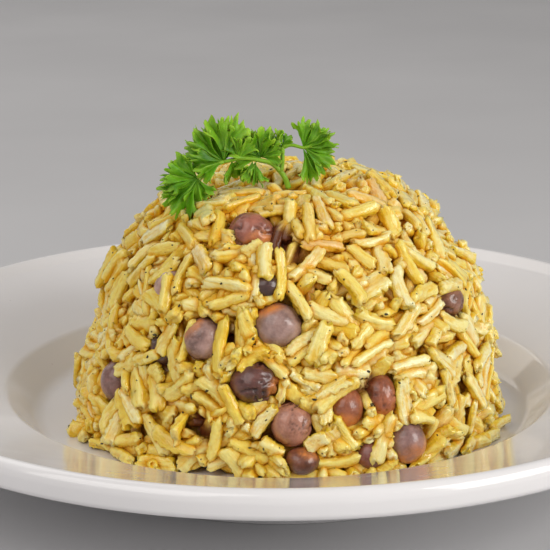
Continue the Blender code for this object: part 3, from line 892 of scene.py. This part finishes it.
def grain_shapes(rng, kind, mesh_size, middle, along, depth, outward, length):
    """Copies of a few grain models, turned and stretched to each grain's place, with what the finish reads:
    points, faces, places on the grain itself, directions out of the mound, and a set of values."""
    models = np.array([grain_model(rng, kind, *mesh_size) for _ in range(GRAIN_MODELS)])
    count = len(middle)
    pick = models[rng.integers(0, GRAIN_MODELS, count)]
    side = unit(np.cross(outward + rng.normal(0.0, 0.05, (count, 3)), along))
    face = np.cross(along, side)
    roll = (rng.normal(0.0, 0.50, count) + rng.choice([0.0, math.pi], count))[:, None]
    across = side * np.cos(roll) + face * np.sin(roll)
    upward = np.cross(along, across)
    shape = (along[:, None, :] * (pick[:, :, :1] * length[:, None, None])
             + across[:, None, :] * pick[:, :, 1:2] + upward[:, None, :] * pick[:, :, 2:3])
    points = middle[:, None, :] + shape
    each = points.shape[1]
    pattern = capped_faces(*mesh_size)
    faces = [[corner + grain * each for corner in row] for grain in range(count) for row in pattern]
    tint = np.clip(rng.normal(0.50, 0.26, count) + middle[:, 0] / 45.0 * 0.24, 0.0, 1.0)
    ends = np.clip((np.abs(pick[:, :, 0]) - 0.40) / 0.10, 0.0, 1.0) * rng.choice([0.0, 0.4, 1.0], (count, 1))
    own = pick[:, :, :3] * np.stack([length, np.ones(count), np.ones(count)], -1)[:, None, :]
    own = own + rng.uniform(0.0, 500.0, (count, 1, 3))
    below = depth[:, None] - (shape * outward[:, None, :]).sum(2)
    stain = stain_amount(middle) * rng.uniform(0.3, 1.0, count)
    read = {
        "tip": ends,
        "groove": pick[:, :, 3],
        "tint": np.repeat(tint[:, None], each, 1),
        # Depth below the outline, which the finish turns into painted shade.
        "depth": np.clip((below - 0.7) / 4.4, 0.0, 1.0),
        "stain": np.repeat(stain[:, None], each, 1),
        # Painted shade in the hollows, below the outer grains.
        "soak": hollow_shade_amount(points.reshape(-1, 3), below.reshape(-1)),
    }
    outer = np.repeat(outward, each, 0)
    values = {name: value.reshape(-1) for name, value in read.items()}
    return points.reshape(-1, 3), faces, own.reshape(-1, 3), outer, values


def place_grains(rng, name, kind, mine, grains, packing, finish):
    """All grains of a kind in one mesh: the outer ones finer, the inner ones plainer."""
    outer = grains[2] < OUTER_DEPTH
    sets, owners = [], []
    for some, size in ((mine & outer, OUTER_MESH), (mine & ~outer, INNER_MESH)):
        sets.append(grain_shapes(rng, kind, size, *(values[some] for values in grains)))
        owners.append(np.repeat(np.nonzero(some)[0], size[0] * size[1] + 2))
    points, faces = join([one[:2] for one in sets])
    piece = new_piece(name, points, faces, finish, "rice")
    add_places(piece, "own", np.vstack([one[2] for one in sets]))
    for value in sets[0][4]:
        add_values(piece, value, np.concatenate([one[4][value] for one in sets]))
    # How far each point faces out of the mound, which the finish turns into painted light on outward faces
    # and painted shade on inward ones.
    normals = np.empty(len(points) * 3, np.float32)
    piece.data.vertices.foreach_get("normal", normals)
    facing = (normals.reshape(-1, 3) * np.vstack([one[3] for one in sets])).sum(1)
    add_values(piece, "facing", np.clip(facing, 0.0, 1.0))
    # How near each point lies to another grain, which the finish turns into painted shade.
    add_values(piece, "near", packing.nearness(np.vstack([one[0] for one in sets]), np.concatenate(owners)))


def make_core(mound):
    """Packed rice under the loose grains: the mound's outline drawn in and roughened."""
    points = []
    for point in mound.points:
        _, normal, _, _ = mound.tree.find_nearest(point)
        lumps = abs(noise.noise(point / 2.2)) * 1.6 + noise.noise(point / 6.0) * 0.8
        inner = point - normal * (CORE_DEPTH - lumps)
        inner.z = max(inner.z, MOUND_BASE)
        points.append(inner)
    finish = Finish("rice_core")
    # Painted shade: the core, seen only through the gaps between grains, is a darker amber than the grains,
    # and near black-brown in the hollows.
    tone = finish.ramp(finish.noise(420.0, 4.0, 0.6), (0.3, (0.50, 0.24, 0.012)), (0.7, (0.76, 0.46, 0.045)))
    tone = finish.mix(finish.value("soak"), tone, (0.110, 0.028, 0.010))
    finish.link(tone, "Base Color")
    finish.set(Roughness=0.55)
    finish.bump(finish.noise(900.0, 4.0), 0.5)
    core = new_piece("rice_core", points, mound.faces, finish.material, "rice")
    add_values(core, "soak", hollow_shade_amount(np.array(points), np.full(len(points), CORE_DEPTH)))
    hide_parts("rice_mound")


def make_rice(mound):
    """Settle the grains, then make one mesh for each kind, and the core under them."""
    rng = np.random.default_rng(7)
    loose, chosen, fallen = scatter_grains(rng, mound), key_grains(), foot_grains(rng)
    middle, along, length, kinds = (np.concatenate(sets) for sets in zip(loose, chosen, fallen))
    held = np.arange(len(length)) >= GRAIN_COUNT
    middle, along, depth, outward = settle(rng, mound, middle, along, length, held)
    finish = rice_finish()
    seen = depth < SEEN_DEPTH
    packing = Packing(middle, along, length)
    grains = (middle, along, depth, outward, length)
    for number, kind in enumerate(KINDS):
        place_grains(rng, f"rice_{kind}", kind, seen & (kinds == number), grains, packing, finish)
    make_core(mound)


# ---------------------------------------------------------------------------------------------------
# Peas

# Looks of each pea of the front: skin colour, wrinkle depth in mm, direction of its orange part (across,
# deep, upright) and how far that spreads in degrees; 0 leaves it out.
PEA_LOOKS = {
    "pea_01": ((0.290, 0.088, 0.048), 1.00, (0.6, -0.3, -0.7), 46),
    "pea_02": ((0.310, 0.190, 0.155), 0.05, (-0.45, -0.35, 0.85), 50),
    "pea_03": ((0.360, 0.215, 0.175), 0.12, (-0.50, -0.70, 0.50), 44),
    "pea_04": ((0.120, 0.036, 0.024), 1.10, (0.92, -0.35, -0.15), 34),
    "pea_05": ((0.420, 0.185, 0.115), 0.45, (-0.5, 0.2, -0.8), 50),
    "pea_06": ((0.190, 0.056, 0.022), 0.16, (0.4, -0.4, 0.8), 50),
    "pea_07": ((0.330, 0.095, 0.034), 0.45, (-0.3, -0.3, -0.9), 62),
    "pea_08": ((0.330, 0.090, 0.030), 0.45, (-0.2, 0.1, -0.95), 64),
    "pea_09": ((0.270, 0.150, 0.130), 0.12, (0.35, -0.25, -0.9), 90),
    "pea_10": ((0.270, 0.135, 0.110), 0.20, (-0.9, 0.3, 0.2), 44),
    "pea_11": ((0.300, 0.130, 0.070), 0.50, (0.3, 0.8, 0.5), 60),
    "pea_12": ((0.090, 0.034, 0.020), 0.30, (0.3, -0.8, 0.5), 0),
    "pea_13": ((0.060, 0.022, 0.016), 0.18, (0.3, 0.8, 0.5), 0),
    "pea_14": ((0.470, 0.300, 0.230), 0.14, (0.6, -0.5, -0.4), 50),
    "pea_15": ((0.190, 0.050, 0.032), 0.16, (0.3, 0.8, 0.5), 0),
}
PEA_LOOK = ((0.26, 0.140, 0.110), 0.16, (0.6, -0.6, 0.6), 50)
PEA_RINGS = 40
PEA_SIDES = 60
PEA_SEED = 100


def pea_finish(name, colour):
    finish = Finish(name)
    red, green, blue = colour
    dark = (red * 0.50, green * 0.42, blue * 0.40)
    pale = (min(red * 1.38 + 0.03, 1.0), green * 1.45 + 0.02, blue * 1.55 + 0.02)
    cloud = finish.ramp(finish.noise(230.0, 5.0, 0.62), (0.34, 0.0), (0.68, 1.0))
    base = finish.mix(cloud, dark, pale)
    patchy = finish.ramp(finish.noise(420.0, 4.0, 0.6), (0.34, 0.30), (0.62, 1.0))
    base = finish.mix(finish.maths("MULTIPLY", finish.value("patch"), patchy), base, (0.72, 0.250, 0.055))
    # Painted glints: tiny pale flecks that stand for sparkle on the wet skin.
    painted_glints = finish.ramp(finish.noise(1500.0, 5.0, 0.65), (0.56, 0.0), (0.70, 0.45))
    base = finish.mix(painted_glints, base, pale)
    # Painted shade in the creases of the wrinkles.
    base = finish.mix(finish.value("crease_shade", 0.85), base, (0.040, 0.013, 0.010))
    finish.link(base, "Base Color")
    finish.link(finish.ramp(finish.noise(1200.0, 4.0), (0.3, 0.28), (0.7, 0.46)), "Roughness")
    finish.set(Specular_IOR_Level=0.40, Coat_Weight=0.75, Coat_Roughness=0.12)
    finish.set(Subsurface_Weight=0.08, Subsurface_Scale=0.0008, Subsurface_Radius=(1.0, 0.4, 0.25))
    finish.bump(finish.noise(1100.0, 5.0, 0.65), 0.22, 0.9, film=0.22)
    return finish.material


def make_pea(name, middle, half, axes, seed):
    """A cooked pigeon pea: a slightly uneven ball with sunken dents, wrinkled skin and an orange part."""
    colour, wrinkle, patch_way, patch_size = PEA_LOOKS.get(name, PEA_LOOK)
    rng = np.random.default_rng(seed)
    rise = np.linspace(-0.5 * math.pi, 0.5 * math.pi, PEA_RINGS)
    turn = np.arange(PEA_SIDES) * 2.0 * math.pi / PEA_SIDES
    rise, turn = np.meshgrid(rise[1:-1], turn, indexing="ij")
    ways = np.stack([np.cos(rise) * np.cos(turn), np.cos(rise) * np.sin(turn), np.sin(rise)], -1)
    ways = np.vstack([ways.reshape(-1, 3), (0.0, 0.0, -1.0), (0.0, 0.0, 1.0)])
    shift = Vector(rng.uniform(-50.0, 50.0, 3))
    reach = np.ones(len(ways))
    crease_shade = np.zeros(len(ways))
    dents = unit(rng.normal(size=(4, 3)))
    for place, way in enumerate(ways):
        at = Vector(way)
        swell = noise.noise(at * 0.9 + shift) * 0.055
        bent = at + noise.noise_vector(at * 1.6 + shift) * 0.45
        ridge = 1.0 - abs(noise.noise(bent * 1.9 - shift)) * 4.5
        where = min(max(noise.noise(at * 1.1 - shift * 0.7) * 2.2 + 0.35 + wrinkle * 0.3, 0.0), 1.0)
        crease = max(ridge, 0.0) ** 2 * where
        reach[place] += swell - crease * wrinkle / half.mean()
        # How deep each point lies in a crease, which the finish turns into painted shade.
        crease_shade[place] = crease * min(wrinkle * 4.0, 1.0)
    for dent in dents:
        near = np.clip((ways @ dent - 0.72) / 0.28, 0.0, 1.0)
        reach -= near ** 2 * (3.0 - 2.0 * near) * rng.uniform(0.01, 0.045)
    points = middle + (ways * reach[:, None] * half) @ axes
    faces = capped_faces(PEA_RINGS - 2, PEA_SIDES)
    pea = new_piece("cooked_" + name, points, faces, pea_finish(name + "_skin", colour), "pea")
    add_values(pea, "crease_shade", crease_shade)
    close = ways @ unit(np.array(patch_way))
    off = np.degrees(np.arccos(np.clip(close, -1.0, 1.0)))
    add_values(pea, "patch", np.clip((patch_size - off) / (patch_size * 0.35 + 1.0), 0.0, 1.0) * 0.95)
    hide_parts(name)


def make_peas():
    for seed, (name, (middle, half, axes, _)) in enumerate(zip(PEA_NODES, pea_shapes())):
        make_pea(name, middle, half, axes, PEA_SEED + seed)


# ---------------------------------------------------------------------------------------------------
# Parsley

# Places along the sprig, and its stems: a route through them, and the radius at its start and at its end.
FOOT = (1.8, -10.2, 57.8)
FORK = (0.2, -10.4, 61.2)
LEFT_BEND = (-3.2, -10.6, 63.4)
LEFT_KNOT = (-11.1, -12.0, 63.6)
LEFT_TWIG_END = (-16.2, -13.2, 60.5)
MIDDLE_KNOT = (-3.6, -10.0, 64.0)
RIGHT_BEND = (0.6, -10.2, 64.0)
RIGHT_KNOT = (0.6, -10.1, 66.2)
RIGHT_TWIG_END = (4.6, -10.2, 66.0)
STEMS = (
    ((FOOT, (1.2, -10.3, 59.6), FORK, (-1.4, -10.5, 62.8), LEFT_BEND, (-7.0, -11.3, 64.1), LEFT_KNOT),
     0.58, 0.36),
    ((LEFT_KNOT, (-13.8, -12.7, 62.6), LEFT_TWIG_END), 0.38, 0.28),
    ((FORK, (0.5, -10.3, 62.6), RIGHT_BEND, RIGHT_KNOT), 0.50, 0.38),
    ((RIGHT_KNOT, (2.4, -10.1, 66.5), RIGHT_TWIG_END, (6.4, -10.4, 66.4)), 0.40, 0.26),
)

# Lobes of leaf by where they spring from. Each has its direction in degrees from +X up towards +Z, its lean
# towards the front in degrees, its length, half its spread in degrees, its count of teeth and its curl.
LOBES = (
    (LEFT_KNOT, (
        (84, 6, 9.9, 29, 4, 0.5), (100, -14, 8.6, 25, 3, -0.4), (129, -4, 8.9, 26, 4, 0.3),
        (146, 12, 8.6, 26, 4, 0.7), (178, 18, 7.6, 26, 3, 0.8), (194, 26, 6.6, 29, 3, 0.9),
        (120, -34, 7.6, 35, 4, -0.8), (150, -38, 7.0, 35, 4, -0.8), (78, -48, 6.0, 35, 3, -0.8),
    )),
    (LEFT_TWIG_END, (
        (138, -12, 6.4, 32, 3, -0.3), (178, 16, 7.4, 29, 4, 0.6), (198, 12, 8.2, 28, 4, 0.5),
        (233, 14, 9.6, 29, 4, 0.6), (268, 8, 5.6, 32, 3, 0.4), (296, -2, 4.6, 32, 3, 0.2),
        (185, -34, 6.0, 38, 3, -0.7), (225, -28, 6.0, 38, 3, -0.6),
    )),
    ((-8.4, -11.6, 63.9), ((96, 6, 4.6, 38, 3, 0.5),)),
    ((-8.2, -11.6, 63.8), ((66, 14, 5.4, 35, 3, 0.6),)),
    ((-7.4, -11.4, 64.0), ((110, -30, 5.4, 38, 3, -0.5),)),
    (MIDDLE_KNOT, (
        (152, 6, 6.4, 29, 3, 0.5), (132, 12, 6.4, 29, 4, 0.6), (90, 14, 6.2, 29, 4, 0.7),
        (44, 10, 6.0, 32, 3, 0.5), (172, 20, 6.6, 29, 3, 0.6), (20, 18, 4.6, 35, 3, 0.6),
        (120, -42, 6.0, 41, 4, -0.8), (70, -44, 5.6, 41, 4, -0.8),
    )),
    ((-5.4, -11.0, 63.5), ((262, 8, 4.4, 25, 2, 0.4),)),
    ((-5.0, -11.0, 63.3), ((284, 12, 5.2, 20, 2, 0.5),)),
    ((-4.6, -10.8, 63.4), ((240, 20, 3.4, 29, 2, 0.5),)),
    ((-9.4, -11.4, 63.5), ((262, -34, 5.4, 38, 3, -0.3),)),
    ((-8.4, -11.2, 63.4), ((286, -38, 5.0, 35, 3, -0.3),)),
    (RIGHT_KNOT, (
        (100, 4, 3.9, 26, 2, 0.3), (60, -10, 3.0, 32, 2, 0.3), (150, 0, 2.6, 32, 2, 0.3),
    )),
    (RIGHT_TWIG_END, (
        (82, -4, 6.0, 25, 3, 0.3), (38, 2, 6.7, 25, 4, 0.3), (4, 2, 7.2, 23, 4, 0.2),
        (-30, 4, 7.2, 25, 4, 0.4), (-70, 6, 7.6, 22, 3, 0.4), (30, -40, 6.0, 44, 4, -0.8),
        (-20, -38, 6.0, 44, 4, -0.8),
    )),
)
LOBE_RINGS = 12
LOBE_SIDES = 45
LEAF_THICKNESS = 0.22


def leaf_lobe(rng, base, turn, lean, length, spread, teeth, curl):
    """A ruffled lobe of leaf, cut into three toothed parts, as a thin closed blade. Returns its points and
    faces, and for each point how much painted light it carries and how near to the midrib."""
    turn, lean = math.radians(turn), math.radians(lean)
    along = np.array((math.cos(turn) * math.cos(lean), -math.sin(lean), math.sin(turn) * math.cos(lean)))
    facing = np.array((0.0, -1.0, 0.0)) + rng.normal(0.0, 0.35, 3)
    across = unit(np.cross(along, facing))
    normal = np.cross(across, along)
    share, side = np.meshgrid(np.linspace(0.02, 1.0, LOBE_RINGS), np.linspace(-1.0, 1.0, LOBE_SIDES),
                              indexing="ij")
    angle = side * math.radians(spread) * (0.55 + 0.75 * share)
    slits = rng.uniform(0.26, 0.40, 2)
    notch = (np.exp(-((side - slits[0]) / 0.07) ** 2) * rng.uniform(0.14, 0.30)
             + np.exp(-((side + slits[1]) / 0.07) ** 2) * rng.uniform(0.14, 0.30))
    cuts = teeth + 4.5
    saw = np.abs(np.cos(side * cuts * 0.5 * math.pi + rng.uniform(0.0, 3.14))) ** 1.4
    nicks = np.abs(rng.normal(0.0, 0.045, LOBE_SIDES))
    edge = (1.0 - rng.uniform(0.16, 0.34) * side ** 2) * (0.83 + 0.20 * saw ** 0.6 - nicks) - notch
    reach = length * share * (1.0 + (edge - 1.0) * share ** 3.0)
    waves = rng.uniform(1.3, 2.2) * math.pi
    ruffle = 0.15 * length * np.sin(side * waves + rng.uniform(0.0, 6.28)) * share ** 1.5
    ripple = 0.035 * length * np.sin(side * 9.0 + share * 5.0 + rng.uniform(0.0, 6.28)) * share
    ripple += 0.035 * length * np.sin(side * cuts * 1.57 + rng.uniform(0.0, 6.28)) * share ** 3
    droop = -0.20 * curl * length * share ** 2
    lift = ruffle + ripple + droop + 0.05 * length * np.abs(side) * share
    sheet = (base + along * (reach * np.cos(angle))[..., None] + across * (reach * np.sin(angle))[..., None]
             + normal * lift[..., None])
    rows = sheet.reshape(-1, 3)
    shift = Vector(rng.uniform(-50.0, 50.0, 3))
    crumple = np.array([noise.noise_vector(Vector(row) * 0.55 + shift) for row in rows])
    rows = rows + crumple * 0.75 * share.reshape(-1, 1)
    # Both faces of the blade, closed round its rim.
    half = LEAF_THICKNESS / 2.0
    points = np.vstack([rows + normal * half, rows - normal * half])
    count = len(rows)
    faces = []
    for ring in range(LOBE_RINGS - 1):
        for place in range(LOBE_SIDES - 1):
            a = ring * LOBE_SIDES + place
            b, c, d = a + 1, a + 1 + LOBE_SIDES, a + LOBE_SIDES
            faces.append([a, b, c, d])
            faces.append([count + a, count + d, count + c, count + b])
    rim = [ring * LOBE_SIDES for ring in range(LOBE_RINGS)]
    rim += [(LOBE_RINGS - 1) * LOBE_SIDES + place for place in range(1, LOBE_SIDES)]
    rim += [ring * LOBE_SIDES + LOBE_SIDES - 1 for ring in range(LOBE_RINGS - 2, -1, -1)]
    rim += [place for place in range(LOBE_SIDES - 2, 0, -1)]
    for place, here in enumerate(rim):
        following = rim[(place + 1) % len(rim)]
        faces.append([here, following, count + following, count + here])
    # What the finish reads: painted light on the margins, teeth and tips, and the veins.
    margin = (np.clip(1.0 - (1.0 - share) * 5.0, 0.0, 1.0)
              + np.clip(1.0 - (1.0 - np.abs(side)) * 7.0, 0.0, 1.0))
    light = np.clip(margin, 0.0, 1.0) * (0.45 + 0.45 * saw) * share
    light = np.clip(0.75 * light + rng.uniform(0.0, 0.40) * share, 0.0, 1.0).reshape(-1)
    ribs = np.exp(-(side / 0.06) ** 2) + 0.6 * np.exp(-((np.abs(side) - 0.62 * share) / 0.06) ** 2)
    vein = (np.clip(ribs, 0.0, 1.0) * (1.0 - 0.5 * share)).reshape(-1)
    return points, faces, np.tile(light, 2), np.tile(vein, 2)


def tube(route, thick, thin, sides=10):
    """A closed round stem along a smooth route, tapering from its start to its end."""
    route = np.array(route, float)
    steps = 6
    line = []
    padded = np.vstack([2 * route[0] - route[1], route, 2 * route[-1] - route[-2]])
    for place in range(len(route) - 1):
        a, b, c, d = padded[place:place + 4]
        for t in np.arange(steps) / steps:
            line.append(0.5 * (2 * b + (c - a) * t + (2 * a - 5 * b + 4 * c - d) * t * t
                               + (3 * b - a - 3 * c + d) * t ** 3))
    line.append(route[-1])
    line = np.array(line)
    way = unit(np.gradient(line, axis=0))
    first = unit(np.cross(way, (0.0, 1.0, 0.05)))
    second = np.cross(way, first)
    angle = np.arange(sides) * 2.0 * math.pi / sides
    girth = np.linspace(thick, thin, len(line))[:, None] * (1.0 + 0.10 * np.cos(5.0 * angle))
    points = (line[:, None] + first[:, None] * (girth * np.cos(angle))[..., None]
              + second[:, None] * (girth * np.sin(angle))[..., None]).reshape(-1, 3)
    faces = ring_faces(len(line), sides).tolist()
    faces.append(list(range(sides))[::-1])
    faces.append([(len(line) - 1) * sides + side for side in range(sides)])
    return points, faces


def parsley_finish():
    finish = Finish("parsley")
    mottle = finish.ramp(finish.noise(330.0, 5.0, 0.62), (0.34, 0.0), (0.64, 1.0))
    base = finish.mix(mottle, (0.036, 0.165, 0.0015), (0.130, 0.355, 0.0045))
    # Painted light: margins, teeth and tips of the leaves, and the stems, are paler yellow-green.
    base = finish.mix(finish.value("light", 0.90), base, (0.380, 0.640, 0.045))
    base = finish.mix(finish.value("vein", 0.75), base, (0.290, 0.500, 0.060))
    finish.link(base, "Base Color")
    finish.link(finish.ramp(finish.noise(1400.0, 3.0), (0.3, 0.36), (0.7, 0.55)), "Roughness")
    finish.set(Subsurface_Weight=0.30, Subsurface_Scale=0.0010, Subsurface_Radius=(0.45, 1.0, 0.05))
    finish.set(Specular_IOR_Level=0.25, Coat_Weight=0.05, Coat_Roughness=0.30)
    finish.bump(finish.noise(900.0, 4.0, 0.6), 0.22, 0.7)
    return finish.material


def join(parts):
    """Points and faces of several parts as those of one."""
    points, faces, start = [], [], 0
    for some_points, some_faces in parts:
        points.append(some_points)
        faces += [[corner + start for corner in face] for face in some_faces]
        start += len(some_points)
    return np.vstack(points), faces


def make_parsley():
    rng = np.random.default_rng(21)
    finish = parsley_finish()
    lobes = [leaf_lobe(rng, np.array(base), *lobe) for base, cluster in LOBES for lobe in cluster]
    points, faces = join([lobe[:2] for lobe in lobes])
    leaves = new_piece("parsley_leaves", points, faces, finish, "parsley")
    add_values(leaves, "light", np.concatenate([lobe[2] for lobe in lobes]))
    add_values(leaves, "vein", np.concatenate([lobe[3] for lobe in lobes]))
    points, faces = join([tube(*stem) for stem in STEMS])
    stems = new_piece("parsley_stems", points, faces, finish, "parsley")
    # Painted light on the stems, evenly.
    add_values(stems, "light", np.full(len(points), 0.55))
    add_values(stems, "vein", np.full(len(points), 0.15))
    for piece in (leaves, stems):
        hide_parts("parsley_sprig")


# ---------------------------------------------------------------------------------------------------
# Specks of dried herb and pepper


SPECK_COUNT = 640
SPECK_SIZES = (0.18, 0.28, 0.40, 0.60)
SPECK_SHARES = (0.36, 0.34, 0.22, 0.08)
SPECK_CORNERS = 6
FACE_STEP = 40  # one face in so many may carry a speck


def make_specks(mound):
    """Tiny dark flakes that lie on the faces of the outer grains."""
    rng = np.random.default_rng(33)
    bpy.context.view_layer.update()
    middles, normals = [], []
    for kind in KINDS:
        mesh = bpy.data.objects["rice_" + kind].data
        place = np.empty(len(mesh.polygons) * 3, np.float32)
        facing = np.empty(len(mesh.polygons) * 3, np.float32)
        mesh.polygons.foreach_get("center", place)
        mesh.polygons.foreach_get("normal", facing)
        middles.append(place.reshape(-1, 3) / MM)
        normals.append(facing.reshape(-1, 3))
    places, normals = np.vstack(middles), np.vstack(normals)
    depth, outward = mound.depth(places[::FACE_STEP])
    open_air = np.nonzero((depth < 0.9) & ((normals[::FACE_STEP] * outward).sum(1) > 0.5))[0]
    chosen = rng.choice(open_air, SPECK_COUNT, replace=False) * FACE_STEP
    parts = []
    for place in chosen:
        size = rng.choice(SPECK_SIZES, p=SPECK_SHARES) * rng.uniform(0.8, 1.2)
        side = unit(np.cross(normals[place], rng.normal(size=3)))
        ahead = np.cross(normals[place], side)
        turn = np.arange(SPECK_CORNERS) * math.pi / (SPECK_CORNERS / 2)
        reach = size * rng.uniform(0.55, 1.25, SPECK_CORNERS) * 0.5
        stretch = rng.uniform(1.0, 2.2)
        ring = side * (reach * np.cos(turn) * stretch)[:, None] + ahead * (reach * np.sin(turn))[:, None]
        middle = places[place] + normals[place] * 0.02
        top = middle + ring * 0.8 + normals[place] * 0.09
        bottom = middle + ring - normals[place] * 0.08
        under = list(range(SPECK_CORNERS))
        over = [corner + SPECK_CORNERS for corner in under]
        faces = ring_faces(2, SPECK_CORNERS).tolist() + [under[::-1], over]
        parts.append((np.vstack([bottom, top]), faces))
    points, faces = join(parts)
    finish = Finish("herb_specks")
    tone = finish.ramp(finish.noise(800.0, 2.0), (0.4, (0.020, 0.016, 0.008)), (0.62, (0.070, 0.055, 0.015)))
    finish.link(tone, "Base Color")
    finish.set(Roughness=0.6)
    new_piece("herb_specks", points, faces, finish.material, "parsley")


make_camera()
make_stage()
make_plate()
heap = Mound()
make_rice(heap)
make_peas()
make_parsley()
make_specks(heap)
